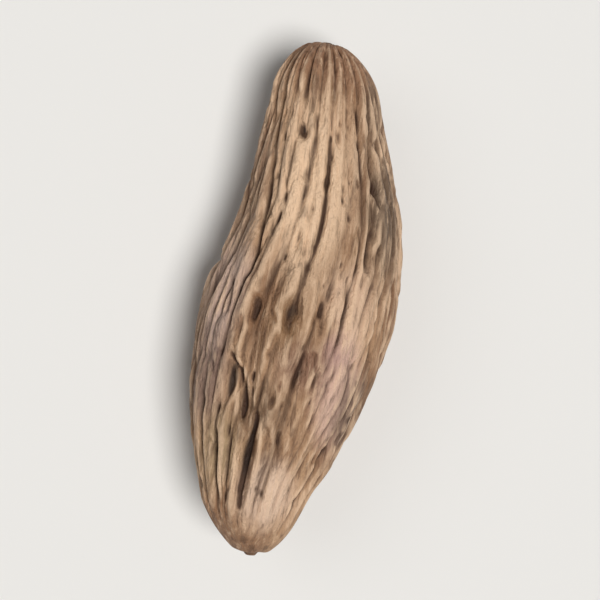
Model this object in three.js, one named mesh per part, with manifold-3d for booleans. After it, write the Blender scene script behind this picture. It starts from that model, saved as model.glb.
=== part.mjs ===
// A dried dwarf lilyturf tuber: one swollen stretch of root, shrunken and wrinkled lengthwise.
// Millimetres, +Z up. It lies on a small flat spot, with its long axis along X:
// the stalk end points to -X and the root end to +X.
import * as THREE from "three";
import { mergeVertices } from "three/addons/utils/BufferGeometryUtils.js";
import Module from "manifold-3d";

// Driving dimensions. A place along the tuber is measured from the tip of its stalk end,
// and a turn around it in degrees from the top towards +Y.
const LENGTH = 20;
const THICKNESS_TO_WIDTH = 0.9;
const STALK_CAP = 2.1; // how far the rounding of each end reaches
const ROOT_CAP = 2.3;

// Half the width of the body at places along it, before its two ends are rounded off.
const HALF_WIDTHS = [
  [0, 1.35],
  [2.2, 2.2],
  [4.5, 3.15],
  [7, 3.75],
  [9.5, 3.98],
  [12.2, 3.6],
  [15, 2.98],
  [17.8, 2.27],
  [20, 2.0],
];

// How far the middle line wanders sideways, and how far it rises towards the ends.
const SIDEWAYS = [
  [0, 0.3],
  [2.2, 0.5],
  [6, 0.2],
  [10, -0.3],
  [12.8, -0.65],
  [16, -0.35],
  [20, 0.1],
];
const RISE = [
  [0, 0.9],
  [4, 0.35],
  [10, 0],
  [15, 0.15],
  [20, 0.6],
];

// Broad flats and corners of the shrunken cross-section: how many go round, how deep they are as
// a share of the radius, where they start, and how far they drift over the length.
const FACETS = [
  { count: 2, depth: 0.05, start: 20, drift: 60 },
  { count: 3, depth: 0.04, start: 75, drift: -90 },
  { count: 5, depth: 0.03, start: 10, drift: 120 },
];

// Lengthwise wrinkles, coarse to fine: how many go round, how deep, how narrow their furrows are
// (1 is a plain wave), how far they stray sideways in radians of their own wave,
// and how long a stretch of furrow is before it fades or comes back.
const WRINKLES = [
  { around: 9, depth: 0.44, narrow: 0.5, stray: 1.5, run: 7, seed: 226 },
  { around: 23, depth: 0.36, narrow: 0.6, stray: 2.4, run: 3.4, seed: 171 },
];
// The slow waves that they stray by: waves around, waves over the length, start, share of the whole.
const STRAY_WAVES = [
  { around: 1, along: 1.3, start: 40, share: 0.45 },
  { around: 2, along: -0.9, start: 130, share: 0.35 },
  { around: 3, along: 1.7, start: 300, share: 0.2 },
];
const WRINKLE_TWIST = 26; // degrees that the wrinkles turn over the whole length
const FADED_PATCH = 0.15; // a patch of skin, valued 0 to 1, has no furrow below this
const FURROWED_PATCH = 0.75; // and a full one above this
// The stalk end's knob is smooth up to the first place, and wrinkles are full from the second on.
const KNOB = { smooth: 0.6, wrinkled: 2.9 };
const FULL_DEPTH_HALF_WIDTH = 3; // where the body is thinner than this, its wrinkles are shallower

// The largest single furrows: place and turn of both ends, half the width, depth.
// The first is the broad valley along the top, then come the slot in it and the crease
// that runs from the slot to the long pit.
const FURROWS = [
  { from: [2.6, 16], to: [12, 14], halfOpen: 1.1, depth: 0.42 },
  { from: [1.9, 12], to: [5.8, 11], halfOpen: 0.3, depth: 0.5 },
  { from: [4.8, 13], to: [7.8, 34], halfOpen: 0.28, depth: 0.36 },
  { from: [10.6, 36], to: [17.6, 52], halfOpen: 0.32, depth: 0.36 },
  { from: [11.2, -38], to: [18, -50], halfOpen: 0.3, depth: 0.34 },
  { from: [3.5, 118], to: [12, 105], halfOpen: 0.35, depth: 0.45 },
  { from: [8, -104], to: [16.5, -92], halfOpen: 0.35, depth: 0.45 },
];
const FURROW_SWAY = 1.5; // degrees to either side
const FURROW_POINT = 0.4; // share of its width that a furrow keeps at its two ends

// The largest single pits: place and turn, half the length and half the width, depth.
const PITS = [
  { at: [6.8, 32], half: [1.3, 0.42], depth: 0.5 },
  { at: [7.3, -12], half: [0.7, 0.6], depth: 0.3 },
  { at: [9.5, 4], half: [0.85, 0.5], depth: 0.34 },
  { at: [12, -40], half: [0.7, 0.5], depth: 0.3 },
  { at: [16.2, 18], half: [0.4, 0.35], depth: 0.26 },
];
// Small pits all over: the same measures of a full-sized one, and the share of them that the smallest has.
const SMALL_PITS = { count: 64, half: [0.6, 0.27], depth: 0.24, smallest: 0.5, largest: 1.3, seed: 129 };
const PITLESS_END = 2.2;

// The scar at each end: a shallow cup, and in it the stub of the root's woody core.
const SCAR = { rim: 0.8, floor: 0.24, cup: 0.2, stubFoot: 0.34, stubTop: 0.17, stub: 0.14 };

const SOLID_SHARE = 0.35; // of the radius: no furrow or pit cuts deeper than down to this

// The flat spot that it lies on: how much of the belly is worn level.
const FLAT_DEPTH = 0.24;
const CUT_MARGIN = 1; // how far the block that levels it reaches past the tuber

// Faces around and along the surface.
const AROUND = 100;
const ALONG = 56;

const MERGE = 1e-6; // points closer than this are one
const DEGREE = Math.PI / 180;
const smooth = THREE.MathUtils.smoothstep;

// A smooth curve through stations of place and value.
function through(stations, place) {
  const last = stations.length - 1;
  let i = 0;
  while (i < last - 1 && place > stations[i + 1][0]) i += 1;
  const slope = (k) => {
    const before = stations[Math.max(k - 1, 0)];
    const after = stations[Math.min(k + 1, last)];
    return (after[1] - before[1]) / (after[0] - before[0]);
  };
  const [x0, y0] = stations[i];
  const [x1, y1] = stations[i + 1];
  const step = x1 - x0;
  const t = (place - x0) / step;
  const bend0 = slope(i) * step;
  const bend1 = slope(i + 1) * step;
  const rest = 1 - t;
  return (
    y0 * (1 + 2 * t) * rest * rest +
    y1 * (3 - 2 * t) * t * t +
    bend0 * t * rest * rest -
    bend1 * t * t * rest
  );
}

// A number from 0 to 1 for a pair of whole numbers, scattered by a fixed rule.
function scatter(i, j, seed) {
  const mixed = Math.sin(i * 12.9898 + j * 78.233 + seed * 37.719) * 43758.5453;
  return mixed - Math.floor(mixed);
}

// Patches of skin whose value runs smoothly from 0 to 1: column and row are counted in patches,
// and the columns close around the tuber after a whole number of them.
function patch(column, row, columns, seed) {
  const i = Math.floor(column);
  const j = Math.floor(row);
  const u = smooth(column - i, 0, 1);
  const v = smooth(row - j, 0, 1);
  const corner = (di, dj) => scatter(THREE.MathUtils.euclideanModulo(i + di, columns), j + dj, seed);
  const near = corner(0, 0) * (1 - u) + corner(1, 0) * u;
  const far = corner(0, 1) * (1 - u) + corner(1, 1) * u;
  return near * (1 - v) + far * v;
}

// Half the width of the body with its two ends rounded.
function halfWidth(along) {
  const rounded = (distance, cap) => Math.sqrt(1 - (1 - Math.min(distance / cap, 1)) ** 2);
  return through(HALF_WIDTHS, along) * rounded(along, STALK_CAP) * rounded(LENGTH - along, ROOT_CAP);
}

// Share by which the cross-section's flats and corners raise or lower the surface.
function facet(along, turn) {
  const progress = along / LENGTH;
  return FACETS.reduce((sum, { count, depth, start, drift }) => {
    const phase = count * turn - (start + drift * progress) * DEGREE;
    return sum + depth * Math.cos(phase);
  }, 0);
}

// How far the wrinkles stray sideways at a place, as a share from -1 to 1.
function straying(along, turn, seed) {
  const progress = (along / LENGTH) * 360;
  return STRAY_WAVES.reduce((sum, wave) => {
    const phase = (wave.along * progress + wave.start * seed) * DEGREE + wave.around * turn;
    return sum + wave.share * Math.sin(phase);
  }, 0);
}

// How far the wrinkles have turned around the tuber by a place.
const twist = (along) => WRINKLE_TWIST * DEGREE * (along / LENGTH);

// Depth of the lengthwise wrinkles: rounded ridges with narrow furrows between them,
// which stray, fade out and come back.
function wrinkle(along, turn) {
  const offKnob = smooth(along, KNOB.smooth, KNOB.wrinkled);
  const thickness = Math.min(halfWidth(along) / FULL_DEPTH_HALF_WIDTH, 1);
  return WRINKLES.reduce((sum, { around, depth, narrow, stray, run, seed }) => {
    const phase = around * (turn + twist(along)) + stray * straying(along, turn, seed);
    const hollow = 1 - Math.abs(Math.sin(phase / 2)) ** narrow;
    const value = patch((turn / (2 * Math.PI)) * around, along / run, around, seed);
    const strength = smooth(value, FADED_PATCH, FURROWED_PATCH);
    return sum + depth * hollow * strength * offKnob * thickness;
  }, 0);
}

// The turn from one place around the tuber to another, the short way.
const turnBetween = (a, b) => Math.atan2(Math.sin(a - b), Math.cos(a - b));

// Depth of the largest furrows, which narrow and fade out towards both ends.
function furrow(along, turn) {
  const radius = halfWidth(along);
  return FURROWS.reduce((sum, { from, to, halfOpen, depth }) => {
    const t = (along - from[0]) / (to[0] - from[0]);
    if (t < 0 || t > 1) return sum;
    const sway = FURROW_SWAY * Math.sin(2 * Math.PI * t + from[1]);
    const middle = (from[1] + (to[1] - from[1]) * t + sway) * DEGREE;
    const swell = Math.sin(Math.PI * t);
    const open = halfOpen * (FURROW_POINT + (1 - FURROW_POINT) * swell);
    const aside = (turnBetween(turn, middle) * radius) / open;
    return sum + depth * Math.sqrt(swell) * Math.exp(-aside * aside);
  }, 0);
}

// The small pits, scattered by the fixed rule, with more small ones than large ones.
function smallPits() {
  const { count, half, depth, smallest, largest, seed } = SMALL_PITS;
  return Array.from({ length: count }, (_, k) => {
    const along = PITLESS_END + (LENGTH - 2 * PITLESS_END) * scatter(k, 1, seed);
    const turn = 360 * scatter(k, 2, seed);
    const size = smallest + (largest - smallest) * scatter(k, 3, seed) ** 2;
    return { at: [along, turn], half: half.map((h) => h * size), depth: depth * size };
  });
}
const ALL_PITS = [...PITS, ...smallPits()];

// Depth of the pits, large and small.
function pit(along, turn) {
  const radius = halfWidth(along);
  return ALL_PITS.reduce((deepest, { at, half, depth }) => {
    const ahead = (along - at[0]) / half[0];
    const aside = (turnBetween(turn, at[1] * DEGREE) * radius) / half[1];
    return Math.max(deepest, depth * Math.exp(-(ahead * ahead + aside * aside)));
  }, 0);
}

// How far the scar moves a point of an end inwards, at its distance from the middle line.
function scar(radius) {
  const cup = SCAR.cup * (1 - smooth(radius, SCAR.floor, SCAR.rim));
  const stub = SCAR.stub * (1 - smooth(radius, SCAR.stubTop, SCAR.stubFoot));
  return cup - stub;
}

// A point of the surface.
function skin(along, turn) {
  const plain = halfWidth(along) * (1 + facet(along, turn));
  const relief = wrinkle(along, turn) + furrow(along, turn) + pit(along, turn);
  const radius = Math.max(plain - relief, SOLID_SHARE * plain);
  const inwards = along < LENGTH / 2 ? 1 : -1;
  return new THREE.Vector3(
    along + inwards * scar(radius),
    through(SIDEWAYS, along) + radius * Math.sin(turn),
    through(RISE, along) + THICKNESS_TO_WIDTH * radius * Math.cos(turn),
  );
}

// A closed shape keeps only its points, so that those in the same place can be made one.
function merged(geometry) {
  geometry.deleteAttribute("normal");
  geometry.deleteAttribute("uv");
  return mergeVertices(geometry, MERGE);
}

// A ball whose poles are the two ends, with each of its points moved to its place on the surface.
// Its columns of faces turn with the wrinkles, so that furrows don't cross them in steps.
function tuberSurface() {
  const surface = merged(new THREE.SphereGeometry(1, AROUND, ALONG).rotateZ(Math.PI / 2));
  const points = surface.attributes.position;
  for (let i = 0; i < points.count; i += 1) {
    const ballPoint = new THREE.Vector3().fromBufferAttribute(points, i);
    const along = (LENGTH * (1 + THREE.MathUtils.clamp(ballPoint.x, -1, 1))) / 2;
    const turn = Math.atan2(ballPoint.y, ballPoint.z) - twist(along);
    points.setXYZ(i, ...skin(along, turn));
  }
  return surface;
}

const wasm = await Module();
wasm.setup();

// A closed geometry as a solid that can be cut, and back.
function solidOf(geometry) {
  const mesh = new wasm.Mesh({
    numProp: 3,
    vertProperties: geometry.attributes.position.array,
    triVerts: new Uint32Array(geometry.index.array),
  });
  return new wasm.Manifold(mesh);
}

function geometryOf(solid) {
  const mesh = solid.getMesh();
  const geometry = new THREE.BufferGeometry();
  geometry.setAttribute("position", new THREE.BufferAttribute(mesh.vertProperties, 3));
  geometry.setIndex(new THREE.BufferAttribute(mesh.triVerts, 1));
  return geometry;
}

// The block of everything under the level that the belly is worn to.
function blockUnder({ min, max }) {
  const block = new THREE.Box3(min.clone(), max.clone()).expandByScalar(CUT_MARGIN);
  block.max.z = min.z + FLAT_DEPTH;
  const size = block.getSize(new THREE.Vector3());
  const middle = block.getCenter(new THREE.Vector3());
  return merged(new THREE.BoxGeometry(...size).translate(...middle));
}

// The belly is cut level, and the tuber is moved so that the middle of its base is the origin.
function restedTuber() {
  const surface = tuberSurface();
  surface.computeBoundingBox();
  const block = blockUnder(surface.boundingBox);
  const rested = geometryOf(solidOf(surface).subtract(solidOf(block)));
  rested.computeBoundingBox();
  const base = rested.boundingBox.getCenter(new THREE.Vector3());
  rested.translate(-base.x, -base.y, -rested.boundingBox.min.z);
  rested.computeVertexNormals();
  return rested;
}

const tuber = new THREE.Mesh(
  restedTuber(),
  new THREE.MeshStandardMaterial({ color: 0x9a7450, roughness: 0.75, metalness: 0 }),
);
tuber.name = "tuber";

const part = new THREE.Group();
part.add(tuber);

export default part;
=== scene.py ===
# %% [markdown]
# A dried dwarf lilyturf tuber, looked at closely.
#
# The real thing is one swollen stretch of a thin root. As it dries it shrinks, and its skin,
# which can't shrink as much, folds into wrinkles that run from end to end. Roasting then
# browns it, and darkens the furrows and pits. Here the whole tuber is one mesh, whose relief
# is real geometry, and one material that knows where the hollows are. The material browns
# them and paints shade into them too, and paints shade on the flanks and light along the back.

# %% The fixed frame
import math

import bmesh
import bpy
import numpy as np
from mathutils import Matrix, Vector


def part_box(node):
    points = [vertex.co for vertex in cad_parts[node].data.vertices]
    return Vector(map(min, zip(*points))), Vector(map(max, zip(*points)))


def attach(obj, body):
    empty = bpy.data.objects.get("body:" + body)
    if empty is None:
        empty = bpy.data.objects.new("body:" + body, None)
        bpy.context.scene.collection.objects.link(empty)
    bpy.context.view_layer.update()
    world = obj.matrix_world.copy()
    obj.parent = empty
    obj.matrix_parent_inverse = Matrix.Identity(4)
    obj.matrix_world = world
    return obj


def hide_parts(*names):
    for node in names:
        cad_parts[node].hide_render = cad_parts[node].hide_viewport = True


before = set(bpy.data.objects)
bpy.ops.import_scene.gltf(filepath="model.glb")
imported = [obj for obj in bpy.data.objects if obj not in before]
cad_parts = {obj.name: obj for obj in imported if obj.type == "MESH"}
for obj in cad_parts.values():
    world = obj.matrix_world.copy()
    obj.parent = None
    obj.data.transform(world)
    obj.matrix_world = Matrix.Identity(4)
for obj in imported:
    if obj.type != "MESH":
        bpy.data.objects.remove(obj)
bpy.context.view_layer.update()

MM = 0.001
cad_low, cad_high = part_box("tuber")
print("solid, mm:", [round(v / MM, 2) for v in cad_high - cad_low])

# %% [markdown]
# The camera looks straight down at the tuber, because in the photograph it lies flat in the
# picture, seen from right above. Its stalk end is at the bottom of the picture, and it leans
# 8 degrees to the right of upright, so the camera is rolled by that much. A long lens from a
# few centimetres away keeps the view as flat as a packshot's.

# %% Camera
LEAN = math.radians(82)  # of the tuber's long axis above the picture's horizontal
LENS = 100 * MM
SENSOR = 36 * MM
PICTURE_HEIGHT = 23.2 * MM  # what the frame takes in at the tuber's mid height
NEAREST = MM
FARTHEST = 30000 * MM  # past the far edge of the floor


def aim_camera():
    camera = bpy.data.objects.new("camera", bpy.data.cameras.new("camera"))
    camera.data.lens = LENS / MM
    camera.data.sensor_width = SENSOR / MM
    camera.data.clip_start = NEAREST
    camera.data.clip_end = FARTHEST
    middle = (cad_low + cad_high) / 2
    distance = PICTURE_HEIGHT * LENS / SENSOR
    above = Matrix.Translation(middle + Vector((0, 0, distance)))
    camera.matrix_world = above @ Matrix.Rotation(-LEAN, 4, "Z")
    bpy.context.scene.collection.objects.link(camera)
    bpy.context.scene.camera = camera
    print("camera height, mm:", round(distance / MM, 1))


aim_camera()

# %% [markdown]
# The body comes first: how wide the tuber is at places along it, and how its middle line
# wanders. These are the same stations as the solid's, in millimetres from the tip of the
# stalk end, so the finished skin lies where the solid's does. A spline through a few stations
# is enough, because a tuber swells and narrows slowly.

# %% Body sizes, in millimetres
LENGTH = 20
THICKNESS_TO_WIDTH = 0.9
STALK_CAP = 2.1
ROOT_CAP = 2.3
HALF_WIDTHS = [
    (0, 1.35),
    (2.2, 2.2),
    (4.5, 3.15),
    (7, 3.75),
    (9.5, 3.98),
    (12.2, 3.6),
    (15, 2.98),
    (17.8, 2.27),
    (20, 2.0),
]
SIDEWAYS = [(0, 0.3), (2.2, 0.5), (6, 0.2), (10, -0.3), (12.8, -0.65), (16, -0.35), (20, 0.1)]
RISE = [(0, 0.9), (4, 0.35), (10, 0), (15, 0.15), (20, 0.6)]
HEIGHT = (cad_high - cad_low).z / MM


def through(stations, place):
    """A smooth curve through stations of (place, value), read at many places at once."""
    xs, ys = np.array(stations, float).T
    before = np.r_[0, : len(xs) - 1]
    after = np.r_[1 : len(xs), len(xs) - 1]
    slopes = (ys[after] - ys[before]) / (xs[after] - xs[before])
    i = np.clip(np.searchsorted(xs, place, side="left") - 1, 0, len(xs) - 2)
    step = xs[i + 1] - xs[i]
    t = (place - xs[i]) / step
    rest = 1 - t
    return (
        ys[i] * (1 + 2 * t) * rest**2
        + ys[i + 1] * (3 - 2 * t) * t**2
        + slopes[i] * step * t * rest**2
        - slopes[i + 1] * step * t**2 * rest
    )


def half_width(along):
    """Half the width of the body, with its two ends rounded."""
    def rounded(distance, cap):
        return np.sqrt(1 - (1 - np.minimum(distance / cap, 1)) ** 2)

    return through(HALF_WIDTHS, along) * rounded(along, STALK_CAP) * rounded(LENGTH - along, ROOT_CAP)


print("widest, mm:", round(2 * half_width(np.linspace(0, LENGTH, 200)).max(), 2))

# %% [markdown]
# A shrunken root is never round. Two, three and five shallow waves around it, each turning
# slowly over the length, give it the soft flats and corners that catch the light unevenly.

# %% Flats and corners
FACETS = [
    # around, depth as a share of the radius, start and drift in degrees
    (2, 0.05, 20, 60),
    (3, 0.04, 75, -90),
    (5, 0.03, 10, 120),
]


def facet(along, turn):
    progress = along / LENGTH
    return sum(
        depth * np.cos(count * turn - np.radians(start + drift * progress))
        for count, depth, start, drift in FACETS
    )


# %% [markdown]
# Wrinkles could be painted on with a bump, but they are what gives this thing its outline and
# its shadows, so they are cut into the mesh. A wrinkle family is a wave around the tuber whose
# troughs are pinched into furrows. It strays sideways on slow waves, and each stretch of it
# fades and comes back, patch by patch, so no two are alike. The two coarse families are the
# solid's own, and the finer ones are added here.

# %% Chance by rule
def smooth(value, low, high):
    t = np.clip((value - low) / (high - low), 0, 1)
    return t * t * (3 - 2 * t)


def scatter(i, j, seed):
    """Numbers from 0 to 1 for pairs of whole numbers, scattered by a fixed rule."""
    mixed = np.sin(i * 12.9898 + j * 78.233 + seed * 37.719) * 43758.5453
    return mixed - np.floor(mixed)


def patch(column, row, columns, seed):
    """Patches of skin, valued 0 to 1, that close around the tuber after some columns."""
    i, j = np.floor(column), np.floor(row)
    u, v = smooth(column - i, 0, 1), smooth(row - j, 0, 1)

    def corner(di, dj):
        return scatter(np.mod(i + di, columns), j + dj, seed)

    near = corner(0, 0) * (1 - u) + corner(1, 0) * u
    far = corner(0, 1) * (1 - u) + corner(1, 1) * u
    return near * (1 - v) + far * v


# %% Wrinkles
COARSE_WRINKLES = [
    # around, depth, narrow, stray, run, seed
    (9, 0.44, 0.5, 1.5, 7, 226),
    (23, 0.36, 0.6, 2.4, 3.4, 171),
]
FINE_WRINKLES = [
    (41, 0.13, 0.8, 3.2, 2.3, 14),
    (67, 0.06, 0.9, 4.5, 1.5, 19),
]
STRAY_WAVES = [
    # around, over the length, start in degrees, share
    (1, 1.3, 40, 0.45),
    (2, -0.9, 130, 0.35),
    (3, 1.7, 300, 0.2),
]
WRINKLE_TWIST = math.radians(26)  # over the whole length
FADED_PATCH = 0.15  # a patch of this value has no wrinkles
FURROWED_PATCH = 0.75  # and one of this value has them in full
KNOB_SMOOTH = 0.6  # how far the smooth tip of the stalk end reaches
KNOB_WRINKLED = 2.9  # where the wrinkles are as deep as elsewhere
FULL_DEPTH_HALF_WIDTH = 3  # where the tuber is thinner, so are its wrinkles


def straying(along, turn, seed):
    progress = along / LENGTH * 360
    return sum(
        share * np.sin(np.radians(over * progress + start * seed) + around * turn)
        for around, over, start, share in STRAY_WAVES
    )


def twist(along):
    """How far the wrinkles have turned around the tuber by this place."""
    return WRINKLE_TWIST * along / LENGTH


def wrinkles(families, along, turn):
    """Depth of some families of wrinkles."""
    off_knob = smooth(along, KNOB_SMOOTH, KNOB_WRINKLED)
    thickness = np.minimum(half_width(along) / FULL_DEPTH_HALF_WIDTH, 1)
    total = np.zeros_like(along)
    for around, depth, narrow, stray, run, seed in families:
        phase = around * (turn + twist(along)) + stray * straying(along, turn, seed)
        hollow = 1 - np.abs(np.sin(phase / 2)) ** narrow
        value = patch(turn / (2 * np.pi) * around, along / run, around, seed)
        total += depth * hollow * smooth(value, FADED_PATCH, FURROWED_PATCH)
    return total * off_knob * thickness


# %% [markdown]
# A few furrows and pits are large enough to know one by one: the broad valley along the top,
# the slot in it beside the stalk end, the crease from the slot to the long dark pit, the dents
# across the middle, and the furrows that set the two flanks off from the back towards the
# root end. A pit is a patch of depth around its middle, with a rim made uneven by patches,
# because a clean oval would look drilled. Small pits, where rootlets broke off, are scattered
# by the same fixed rule as in the solid but are slimmer, and tiny pores are added.

# %% Furrows and pits
FURROWS = [
    # from (place, degrees), to (place, degrees), half its opening, depth
    ((2.6, 16), (12, 14), 1.1, 0.42),
    ((1.9, 12), (5.8, 11), 0.3, 0.5),
    ((4.8, 13), (7.8, 34), 0.28, 0.36),
    ((10.6, 36), (17.6, 52), 0.32, 0.36),
    ((11.2, -38), (18, -50), 0.3, 0.34),
    ((3.5, 118), (12, 105), 0.35, 0.45),
    ((8, -104), (16.5, -92), 0.35, 0.45),
]
FURROW_SWAY = 1.5  # in degrees, to each side
FURROW_POINT = 0.4  # the opening at its two ends, as a share
PITS = [
    # (place, degrees), (half its length, half its width), depth
    ((6.8, 32), (1.3, 0.42), 0.5),
    ((7.3, -12), (0.7, 0.6), 0.3),
    ((9.5, 4), (0.85, 0.5), 0.34),
    ((12, -40), (0.7, 0.5), 0.3),
    ((16.2, 18), (0.4, 0.35), 0.26),
]
PITLESS_END = 2.2  # small pits keep this far from both tips
HOLE_FLOOR = 0.05  # where a wall starts, as a share of the half width
HOLE_RIM = 1.3  # and where it ends
RAGGED_COLUMNS = 44
RAGGED_ROW = 0.8
RAGGED_SEED = 11
RAGGEDNESS = 0.4  # how much nearer or farther a rim may lie, as a share
PIT_REACH = HOLE_RIM / (1 - RAGGEDNESS)


def scattered_pits(count, half, depth, smallest, largest, seed):
    pits = []
    for k in range(count):
        along = PITLESS_END + (LENGTH - 2 * PITLESS_END) * scatter(k, 1, seed)
        size = smallest + (largest - smallest) * scatter(k, 3, seed) ** 2
        pits.append(((along, 360 * scatter(k, 2, seed)), (half[0] * size, half[1] * size), depth * size))
    return pits


SMALL_PITS = scattered_pits(64, (0.55, 0.15), 0.24, 0.4, 1.4, 129)
PORES = scattered_pits(320, (0.22, 0.09), 0.12, 0.5, 1.5, 33)


def turn_between(a, b):
    return (a - b + np.pi) % (2 * np.pi) - np.pi


def ragged(along, turn):
    """A factor about 1 that makes the rims of pits and furrows uneven."""
    column = turn / (2 * np.pi) * RAGGED_COLUMNS
    uneven = patch(column, along / RAGGED_ROW, RAGGED_COLUMNS, RAGGED_SEED)
    return 1 + RAGGEDNESS * (2 * uneven - 1)


def hole(off_middle):
    """The shape of a pit's or furrow's wall: 1 on the floor, 0 outside."""
    return 1 - smooth(off_middle, HOLE_FLOOR, HOLE_RIM)


def furrows(along, turn):
    """Depth of the largest furrows."""
    radius = half_width(along)
    rim = ragged(along, turn)
    total = np.zeros_like(along)
    for start, end, half_open, depth in FURROWS:
        t = (along - start[0]) / (end[0] - start[0])
        sway = FURROW_SWAY * np.sin(2 * np.pi * t + start[1])
        middle = np.radians(start[1] + (end[1] - start[1]) * t + sway)
        swell = np.sin(np.pi * np.clip(t, 0, 1))
        opening = half_open * (FURROW_POINT + (1 - FURROW_POINT) * swell)
        aside = np.abs(turn_between(turn, middle)) * radius / opening
        total += depth * np.sqrt(swell) * hole(aside * rim)
    return total


def pits(places, along, turn):
    """Depth of some pits."""
    radius = half_width(along)
    rim = ragged(along, turn)
    deepest = np.zeros_like(along)
    for (place, degrees), (half_length, half_pit_width), depth in places:
        near = np.flatnonzero(np.abs(along - place) < half_length * PIT_REACH)
        ahead = (along[near] - place) / half_length
        aside = turn_between(turn[near], math.radians(degrees)) * radius[near] / half_pit_width
        here = depth * hole(np.hypot(ahead, aside) * rim[near])
        deepest[near] = np.maximum(deepest[near], here)
    return deepest


print("pits:", len(PITS) + len(SMALL_PITS), "pores:", len(PORES))

# %% [markdown]
# The skin between the wrinkles is grainy, like fine bark. Two sizes of patches, much smaller
# than the wrinkles, roughen it, and fine cracks wind along it, which are the level lines of
# long, narrow patches. Everything that is added here only goes inwards, so the skin never
# stands out of the solid's box.

# %% Grain and cracks
GRAIN = [
    # columns around, row length, depth, seed
    (44, 1.3, 0.07, 5),
    (120, 0.5, 0.035, 6),
]
CRACKS = [
    # columns around, row length, depth, how narrow from 0 to 1, seed
    (30, 3.2, 0.13, 0.72, 41),
    (58, 1.7, 0.08, 0.66, 42),
]
CRACKED_ROWS = 1.6  # rows of cracked and whole patches for each row of cracks
CRACKLESS_PATCH = 0.3
CRACKED_PATCH = 0.6


def grain(along, turn):
    thickness = np.minimum(half_width(along) / FULL_DEPTH_HALF_WIDTH, 1)
    return thickness * sum(
        depth * patch(turn / (2 * np.pi) * columns, along / row, columns, seed)
        for columns, row, depth, seed in GRAIN
    )


def cracks(along, turn):
    """Depth of the fine cracks."""
    total = np.zeros_like(along)
    for columns, row, depth, narrow, seed in CRACKS:
        column = turn / (2 * np.pi) * columns
        level = patch(column, along / row, columns, seed)
        nearness = 1 - np.abs(2 * level - 1)
        value = patch(column / 2, along / row * CRACKED_ROWS, columns // 2, seed + 1)
        cracked = smooth(value, CRACKLESS_PATCH, CRACKED_PATCH)
        total += depth * smooth(nearness, narrow, 1) * cracked
    return total * smooth(along, KNOB_SMOOTH, KNOB_WRINKLED)


print("sizes of grain:", len(GRAIN), "sizes of cracks:", len(CRACKS))

# %% [markdown]
# Both ends have the scar where the thin root broke off: a shallow cup with a stub of the root
# in it. It is round the long axis, so its shape needs only the distance from that axis.

# %% End scars
SCAR_RIM, SCAR_FLOOR, SCAR_CUP = 0.8, 0.24, 0.2
STUB_FOOT, STUB_TOP, STUB_HEIGHT = 0.34, 0.17, 0.14


def scar_ring(radius):
    """Where the skin of an end lies in the cup around the stub: 1 there, 0 outside."""
    return (1 - smooth(radius, SCAR_FLOOR, SCAR_RIM)) * smooth(radius, 0, STUB_FOOT)


def scar(radius):
    """How far the scar moves a point of an end inwards."""
    cup = SCAR_CUP * (1 - smooth(radius, SCAR_FLOOR, SCAR_RIM))
    stub = STUB_HEIGHT * (1 - smooth(radius, STUB_TOP, STUB_FOOT))
    return cup - stub


print("scar across, mm:", 2 * SCAR_RIM, "stub across, mm:", 2 * STUB_FOOT)

# %% [markdown]
# The hollows are kept kind by kind, because the material darkens each kind in its own way. It
# also has to tell floors from crests, whatever made them. That is how much deeper the skin
# lies at a point than close by, which is worked out here and not by the shader's Pointiness,
# because that depends on the mesh.

# %% Depth of the skin
NEARBY = 0.22  # how far off the skin close by is, in millimetres


def relief(along, turn):
    """How deep the skin lies under the plain body, by kind of hollow."""
    return {
        "fold": wrinkles(COARSE_WRINKLES + FINE_WRINKLES, along, turn),
        "slot": furrows(along, turn),
        "pit": pits(PITS + SMALL_PITS, along, turn) + pits(PORES, along, turn),
        "crack": cracks(along, turn),
        "grain": grain(along, turn),
    }


def hollowness(along, turn):
    """How much deeper the skin lies here than close by: furrows are above 0, crests below."""
    aside = NEARBY / np.maximum(half_width(along), 1)
    before = np.maximum(along - NEARBY, 0)
    after = np.minimum(along + NEARBY, LENGTH)
    close_by = [(along, turn + aside), (along, turn - aside), (before, turn), (after, turn)]
    around = sum(sum(relief(*place).values()) for place in close_by) / len(close_by)
    return sum(relief(along, turn).values()) - around


back = np.linspace(0, LENGTH, 2000)
deepest = sum(relief(back, np.zeros_like(back)).values()).max()
print("deepest along the middle of the back, mm:", round(deepest, 2))

# %% [markdown]
# The mesh starts as a ball whose poles are the two ends of the tuber. A ball already has its
# rings crowded towards the poles, which is where the ends turn sharply, and its columns are
# turned with the wrinkles, so that furrows don't cross them in steps. Every point is moved to
# its place by the rules above, and the belly is levelled where it lies, as low under the back
# as the solid's. What the material reads is kept on the mesh as attributes.

# %% The skin
AROUND = 400
ALONG = 246
SHOWN = ["fold", "slot", "pit", "hollow", "ring"]
SOLID_SHARE = 0.35  # of the plain radius, which no hollow cuts into


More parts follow.
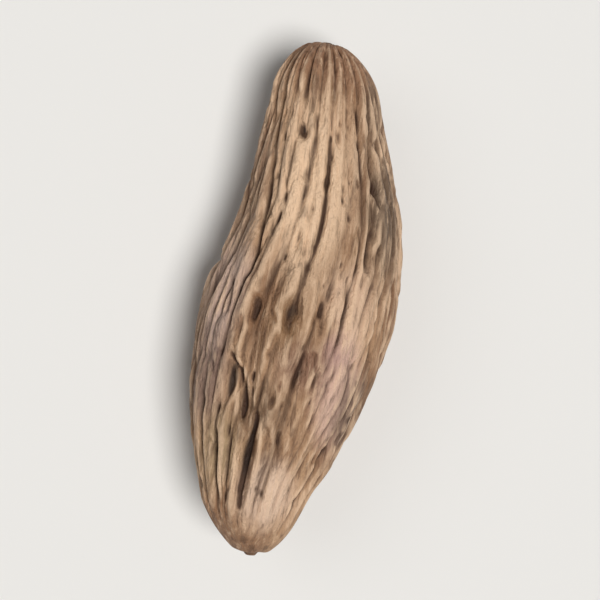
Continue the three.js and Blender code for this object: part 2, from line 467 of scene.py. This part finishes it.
def skin_mesh():
    ball = bmesh.new()
    lying = Matrix.Rotation(math.pi / 2, 4, "Y")
    bmesh.ops.create_uvsphere(ball, u_segments=AROUND, v_segments=ALONG, radius=1, matrix=lying)
    directions = np.array([v.co for v in ball.verts])
    along = LENGTH * (1 + np.clip(directions[:, 0], -1, 1)) / 2
    turn = np.arctan2(directions[:, 1], directions[:, 2]) - twist(along)

    plain = half_width(along) * (1 + facet(along, turn))
    depths = relief(along, turn)
    radius = np.maximum(plain - sum(depths.values()), SOLID_SHARE * plain)
    inwards = np.where(along < LENGTH / 2, 1, -1)
    x = along + inwards * scar(radius)
    y = through(SIDEWAYS, along) + radius * np.sin(turn)
    z = through(RISE, along) + THICKNESS_TO_WIDTH * radius * np.cos(turn)

    z = np.maximum(z, z.max() - HEIGHT)
    places = np.stack([x, y, z], axis=1) * MM
    centre = (places.max(axis=0) + places.min(axis=0)) / 2
    centre[2] = places[:, 2].min()
    for vertex, place in zip(ball.verts, places - centre):
        vertex.co = place
    bmesh.ops.recalc_face_normals(ball, faces=ball.faces)

    mesh = bpy.data.meshes.new("tuber_skin")
    ball.to_mesh(mesh)
    ball.free()
    depths["hollow"] = hollowness(along, turn)
    depths["ring"] = scar_ring(radius)
    for name in SHOWN:
        layer = mesh.attributes.new(name, "FLOAT", "POINT")
        layer.data.foreach_set("value", depths[name].astype(np.float32))
    mesh.shade_smooth()
    return mesh


skin = bpy.data.objects.new("tuber_skin", skin_mesh())
bpy.context.scene.collection.objects.link(skin)
print("triangles:", sum(len(p.vertices) - 2 for p in skin.data.polygons))

# %% [markdown]
# A material is a small sum of masks and colours. The class below wraps one socket, so that a
# mask can be written as a plain expression, and every other node comes from one method.
# Noise is flat along the planes of its own grid, and at its zero point those of all its sizes
# meet and show as a seam. So its zero point lies outside the tuber, and each size is not quite
# half the one before.

# %% Shader sums
NOISE_START = (31.7, 17.3, 23.9)  # in millimetres
NOISE_STEP = 2.13


class Signal:
    """A node's output that can be written into sums."""

    def __init__(self, finish, socket):
        self.finish = finish
        self.socket = socket

    def __add__(self, other):
        return self.finish.math("ADD", self, other)

    def __radd__(self, other):
        return self.finish.math("ADD", other, self)

    def __sub__(self, other):
        return self.finish.math("SUBTRACT", self, other)

    def __rsub__(self, other):
        return self.finish.math("SUBTRACT", other, self)

    def __mul__(self, other):
        return self.finish.math("MULTIPLY", self, other)

    def __rmul__(self, other):
        return self.finish.math("MULTIPLY", other, self)


class Finish:
    """A procedural material being made."""

    def __init__(self, name):
        self.material = bpy.data.materials.new(name)
        self.material.use_nodes = True
        self.tree = self.material.node_tree
        self.surface = self.tree.nodes["Principled BSDF"]

    def feed(self, socket, value):
        if isinstance(value, Signal):
            self.tree.links.new(value.socket, socket)
        else:
            socket.default_value = value

    def node(self, kind, settings=(), inputs=(), output=0):
        made = self.tree.nodes.new(kind)
        for name, value in dict(settings).items():
            setattr(made, name, value)
        for name, value in dict(inputs).items():
            self.feed(made.inputs[name], value)
        return Signal(self, made.outputs[output])

    def math(self, operation, a, b):
        return self.node("ShaderNodeMath", {"operation": operation}, {0: a, 1: b})

    def between(self, value, low, high):
        """0 below low, 1 above high, smooth between them."""
        inputs = {"Value": value, "From Min": low, "From Max": high}
        return self.node("ShaderNodeMapRange", {"interpolation_type": "SMOOTHSTEP"}, inputs)

    def mix(self, share, a, b):
        """Colour a where share is 0, colour b where it is 1."""
        return self.node("ShaderNodeMix", {"data_type": "RGBA"}, {0: share, 6: a, 7: b}, 2)

    def attribute(self, name):
        return self.node("ShaderNodeAttribute", {"attribute_name": name}, output="Fac")

    def lengths(self, stretch=(1, 1, 1), start=(0, 0, 0)):
        """The place on the object in millimetres from a start, with each axis stretched."""
        coordinates = self.node("ShaderNodeTexCoord", output="Object")
        inputs = {"Vector": coordinates, "Scale": [1 / (MM * s) for s in stretch], "Location": start}
        return self.node("ShaderNodeMapping", {}, inputs)

    def noise(self, size, stretch=(1, 1, 1), detail=3, rough=0.55):
        """Cloudy noise, 0 to 1, whose blots are about size millimetres."""
        inputs = {
            "Vector": self.lengths(stretch, NOISE_START),
            "Scale": 1 / size,
            "Detail": detail,
            "Roughness": rough,
            "Lacunarity": NOISE_STEP,
        }
        return self.node("ShaderNodeTexNoise", {}, inputs)


def shade(red, green, blue):
    """A colour as seen on a screen, 0 to 255, as the light that a surface gives back."""
    def linear(value):
        value = value / 255
        return value / 12.92 if value <= 0.04045 else ((value + 0.055) / 1.055) ** 2.4

    return (linear(red), linear(green), linear(blue), 1)


# %% [markdown]
# The skin is tan, browner in broad patches. The noise for them is stretched along the tuber,
# because everything on a root runs lengthwise.

# %% Patchy skin
TAN = shade(190, 151, 116)
BROWN = shade(148, 109, 78)


def patchy_skin(finish):
    blotch = finish.noise(size=2.6, stretch=(2.2, 1, 1), detail=4)
    return finish.mix(finish.between(blotch, 0.38, 0.66), TAN, BROWN)


print("from", TAN[:3], "to", BROWN[:3])

# %% [markdown]
# Over that lie the stains that this one has, and patches of painted shade on its flanks and of
# painted light along its back, made the same way. Each is a soft ball of colour around a place
# on the skin, pulled long by its reach and given an uneven edge. Left and right are as the
# camera sees them.

# %% Stains and painted shading
TINT_CORE = 0.35  # as a share of its reach
TINT_EDGE = 1.15
STAINS_AND_PAINTED_SHADING = {
    # middle in millimetres, reach along x, y and z, colour, strength
    "cream on the stalk knob": ((-7.3, 0.3, 5.4), (1.6, 1.4, 3.0), shade(240, 208, 182), 0.75),
    # painted shade on the left flank near the stalk end
    "painted shade left of the slot": ((-3.2, 3.1, 5.0), (2.6, 1.1, 3.0), shade(124, 104, 98), 0.65),
    "lilac-grey bloom": ((0.4, 3.0, 5.2), (3.2, 1.3, 3.0), shade(204, 178, 166), 0.65),
    "pinkish patch": ((-3.3, -1.9, 5.6), (3.2, 1.1, 2.5), shade(234, 196, 176), 0.75),
    "dusky spot in the pink": ((-1.6, -1.6, 6.4), (1.0, 0.7, 2.0), shade(170, 130, 124), 0.6),
    "olive beside the slot": ((-6.0, 2.3, 5.2), (1.9, 1.1, 2.5), shade(162, 142, 108), 0.55),
    "olive-brown dent": ((-0.7, 0.4, 7.0), (1.5, 0.8, 1.5), shade(142, 106, 70), 0.6),
    "brown above the slot": ((-4.2, 0.9, 6.0), (1.4, 1.2, 2.0), shade(114, 86, 62), 0.75),
    "brown between the dents": ((-2.5, -0.4, 6.4), (1.2, 1.3, 2.0), shade(126, 90, 74), 0.6),
    # painted light: the middle of the back made paler, as where the light falls most
    "painted light along the back": ((4.1, 0.1, 6.2), (4.6, 1.9, 2.5), shade(254, 216, 178), 0.8),
    "cream on the shoulder": ((0.1, -1.9, 5.8), (1.9, 1.3, 2.5), shade(240, 204, 174), 0.6),
    # painted shade on the left flank towards the root end
    "painted shade on the left flank": ((4.6, 2.4, 5.0), (3.6, 0.9, 2.5), shade(138, 110, 90), 0.6),
    # painted shade on the right flank, darkest towards the root end
    "painted shade on the right flank": ((5.0, -3.0, 4.8), (5.2, 1.4, 2.8), shade(92, 76, 61), 0.85),
    # painted shade on the right side of the root end
    "painted shade right of the root tip": ((7.8, -1.9, 4.2), (2.2, 0.9, 2.5), shade(96, 78, 62), 0.8),
    # painted shade on the right flank near the stalk end
    "painted shade under the pink": ((-4.6, -2.7, 5.2), (2.6, 1.1, 2.5), shade(92, 72, 58), 0.85),
    "warm brown root tip": ((9.4, 0.2, 4.0), (2.2, 2.6, 4.0), shade(148, 106, 78), 0.75),
}


# lays on the stains, and the painted shade and painted light named in the list
def stained_and_shaded(finish, colour, uneven):
    for middle, reach, tint, strength in STAINS_AND_PAINTED_SHADING.values():
        inputs = {0: finish.lengths(), 1: middle}
        place = finish.node("ShaderNodeVectorMath", {"operation": "SUBTRACT"}, inputs)
        offset = finish.node("ShaderNodeVectorMath", {"operation": "DIVIDE"}, {0: place, 1: reach})
        distance = finish.node("ShaderNodeVectorMath", {"operation": "LENGTH"}, {0: offset}, "Value")
        inside = 1 - finish.between(distance + uneven, TINT_CORE, TINT_EDGE)
        colour = finish.mix(inside * strength, colour, tint)
    return colour


print("stains:", ", ".join(STAINS_AND_PAINTED_SHADING))

# %% [markdown]
# The belly is painted darker than the back, as painted shade, and fine streaks run along the
# root, both pale and dark.

# %% Painted shade on the belly, and streaks
BELLY_SHADE = shade(120, 88, 66)
BELLY_SHADE_SHARE = 0.5
BELLY_TOP, BACK_FOOT = 2.2, 5.2  # heights that it fades between, in millimetres
PALE = shade(238, 202, 167)
UMBER = shade(64, 37, 20)
STREAK_SHARE = 0.5


# painted shade: the skin is mixed darker the lower it lies
def painted_shade_below(finish, colour, uneven):
    height = finish.node("ShaderNodeSeparateXYZ", {}, {"Vector": finish.lengths()}, "Z")
    belly = 1 - finish.between(height + uneven, BELLY_TOP, BACK_FOOT)
    return finish.mix(belly * BELLY_SHADE_SHARE, colour, BELLY_SHADE)


def streaked(finish, colour):
    streak = finish.noise(size=0.26, stretch=(11, 1, 1), detail=4, rough=0.65)
    colour = finish.mix(finish.between(streak, 0.5, 0.68) * STREAK_SHARE, colour, PALE)
    return finish.mix((1 - finish.between(streak, 0.34, 0.48)) * STREAK_SHARE, colour, UMBER)


print("belly fades out over, mm:", round(BACK_FOOT - BELLY_TOP, 1))

# %% [markdown]
# Handling rubs the crests pale, here and there, and the pale crests are also painted
# highlight. Roasting browns the furrows, and chars the slot and the pits where they are
# deepest, and that darkening is also painted shade in the hollows. The cup of each end scar is
# dark too, around a paler stub.

# %% Crests, furrows and pits
CHAR_AND_SHADE = shade(30, 16, 8)
RUBBED_AND_HIGHLIGHT_SHARE = 0.7
WRINKLE_SHARE = 0.58
FLOOR_SHARE = 0.92
CHARRED_AND_SHADED_SHARE = 0.75
SCAR_SHARE = 0.7


# worn pale, and painted highlight, on the crests
def rubbed_and_highlit(finish, colour, hollow):
    crest = 1 - finish.between(hollow, -0.09, 0)
    rubbed_and_lit = finish.between(finish.noise(size=0.7, stretch=(3, 1, 1)), 0.3, 0.6)
    return finish.mix(crest * rubbed_and_lit * RUBBED_AND_HIGHLIGHT_SHARE, colour, PALE)


# roasting brown together with painted shade in the furrows, the hollow floors, the slot and the pits
def roasted_and_shaded(finish, colour, hollow, furrow):
    colour = finish.mix(furrow * WRINKLE_SHARE, colour, UMBER)
    colour = finish.mix(finish.between(hollow, 0, 0.13) * FLOOR_SHARE, colour, UMBER)
    slot = finish.between(finish.attribute("slot"), 0.5, 0.8)
    pit = finish.between(finish.attribute("pit"), 0.2, 0.4)
    colour = finish.mix(finish.between(slot + pit, 0.1, 1) * CHARRED_AND_SHADED_SHARE, colour, CHAR_AND_SHADE)
    return finish.mix(finish.attribute("ring") * SCAR_SHARE, colour, UMBER)


print("hollows that brown the skin:", ", ".join(SHOWN))

# %% [markdown]
# A bump is kept for what is finer than the mesh: hair-fine fibres along the root, and pores.
# The skin is matt with a faint waxy sheen, which is uneven, and duller in the furrows.

# %% Fibres and sheen
BUMP_DEPTH = 0.16 * MM
SHEEN_LEVEL = 0.4
ROUGHNESS = 0.56
FURROW_ROUGHER = 0.2
UNEVEN_ROUGHNESS = 0.3


def fibres(finish):
    fibre = finish.noise(size=0.13, stretch=(6, 1, 1), detail=4, rough=0.6)
    pore = finish.noise(size=0.1, stretch=(1.4, 1, 1), rough=0.6)
    inputs = {"Strength": 1, "Distance": BUMP_DEPTH, "Height": fibre * 0.7 + pore * 0.6}
    return finish.node("ShaderNodeBump", {}, inputs)


def roughness(finish, furrow):
    cloud = finish.noise(size=0.5, stretch=(4, 1, 1)) - 0.5
    return ROUGHNESS + furrow * FURROW_ROUGHER + cloud * UNEVEN_ROUGHNESS


def tuber_finish():
    finish = Finish("tuber_skin")
    hollow = finish.attribute("hollow")
    furrow = finish.between(finish.attribute("fold"), 0.16, 0.5)
    uneven = (finish.noise(size=1.1, stretch=(1.6, 1, 1), detail=4) - 0.5) * 0.6
    colour = stained_and_shaded(finish, patchy_skin(finish), uneven)
    colour = streaked(finish, painted_shade_below(finish, colour, uneven))
    colour = roasted_and_shaded(finish, rubbed_and_highlit(finish, colour, hollow), hollow, furrow)
    finish.feed(finish.surface.inputs["Base Color"], colour)
    finish.feed(finish.surface.inputs["Roughness"], roughness(finish, furrow))
    finish.feed(finish.surface.inputs["Normal"], fibres(finish))
    finish.surface.inputs["Specular IOR Level"].default_value = SHEEN_LEVEL
    return finish.material


skin.data.materials.append(tuber_finish())
print("nodes:", len(skin.data.materials[0].node_tree.nodes))

# %% [markdown]
# The skin rides on the part's one body and stands for its solid.

# %% Into the frame
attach(skin, "root")
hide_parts("tuber")

# %% [markdown]
# A wide, pale floor and soft light, as in a lightbox. The key light comes from nearly
# overhead, a little from the stalk end and the camera's right, so that the wrinkles show. A
# weak, broad light from the other side keeps their shaded walls from going black. Both are
# suns with a wide disc: their shadows are soft, and they light the whole floor alike.

# %% Floor and light
FLOOR_SIZE = 20000 * MM
PAPER = shade(228, 226, 222)
PAPER_ROUGHNESS = 0.9
SUNS = [
    # name, where it stands, breadth in degrees, strength
    ("key", (-0.12, -0.27, 0.95), 23, 2.85),
    ("fill", (0.16, 0.56, 0.81), 44, 0.36),
]
ROOM_LIGHT = 0.1


def make_floor():
    sheet = bmesh.new()
    bmesh.ops.create_grid(sheet, x_segments=1, y_segments=1, size=FLOOR_SIZE / 2)
    mesh = bpy.data.meshes.new("floor")
    sheet.to_mesh(mesh)
    sheet.free()
    floor = bpy.data.objects.new("floor", mesh)
    bpy.context.scene.collection.objects.link(floor)
    paper = Finish("floor_paper")
    paper.surface.inputs["Base Color"].default_value = PAPER
    paper.surface.inputs["Roughness"].default_value = PAPER_ROUGHNESS
    mesh.materials.append(paper.material)


def add_sun(name, stand, breadth, strength):
    lamp = bpy.data.lights.new(name, "SUN")
    lamp.angle = math.radians(breadth)
    lamp.energy = strength
    sun = bpy.data.objects.new(name, lamp)
    sun.matrix_world = Vector(stand).to_track_quat("Z", "Y").to_matrix().to_4x4()
    bpy.context.scene.collection.objects.link(sun)


def light_room():
    world = bpy.data.worlds.new("studio")
    world.use_nodes = True
    world.node_tree.nodes["Background"].inputs["Color"].default_value = (1, 1, 1, 1)
    world.node_tree.nodes["Background"].inputs["Strength"].default_value = ROOM_LIGHT
    bpy.context.scene.world = world
    bpy.context.scene.view_settings.view_transform = "Standard"


make_floor()
for sun in SUNS:
    add_sun(*sun)
light_room()
print("lights:", [lamp.name for lamp in bpy.data.lights])
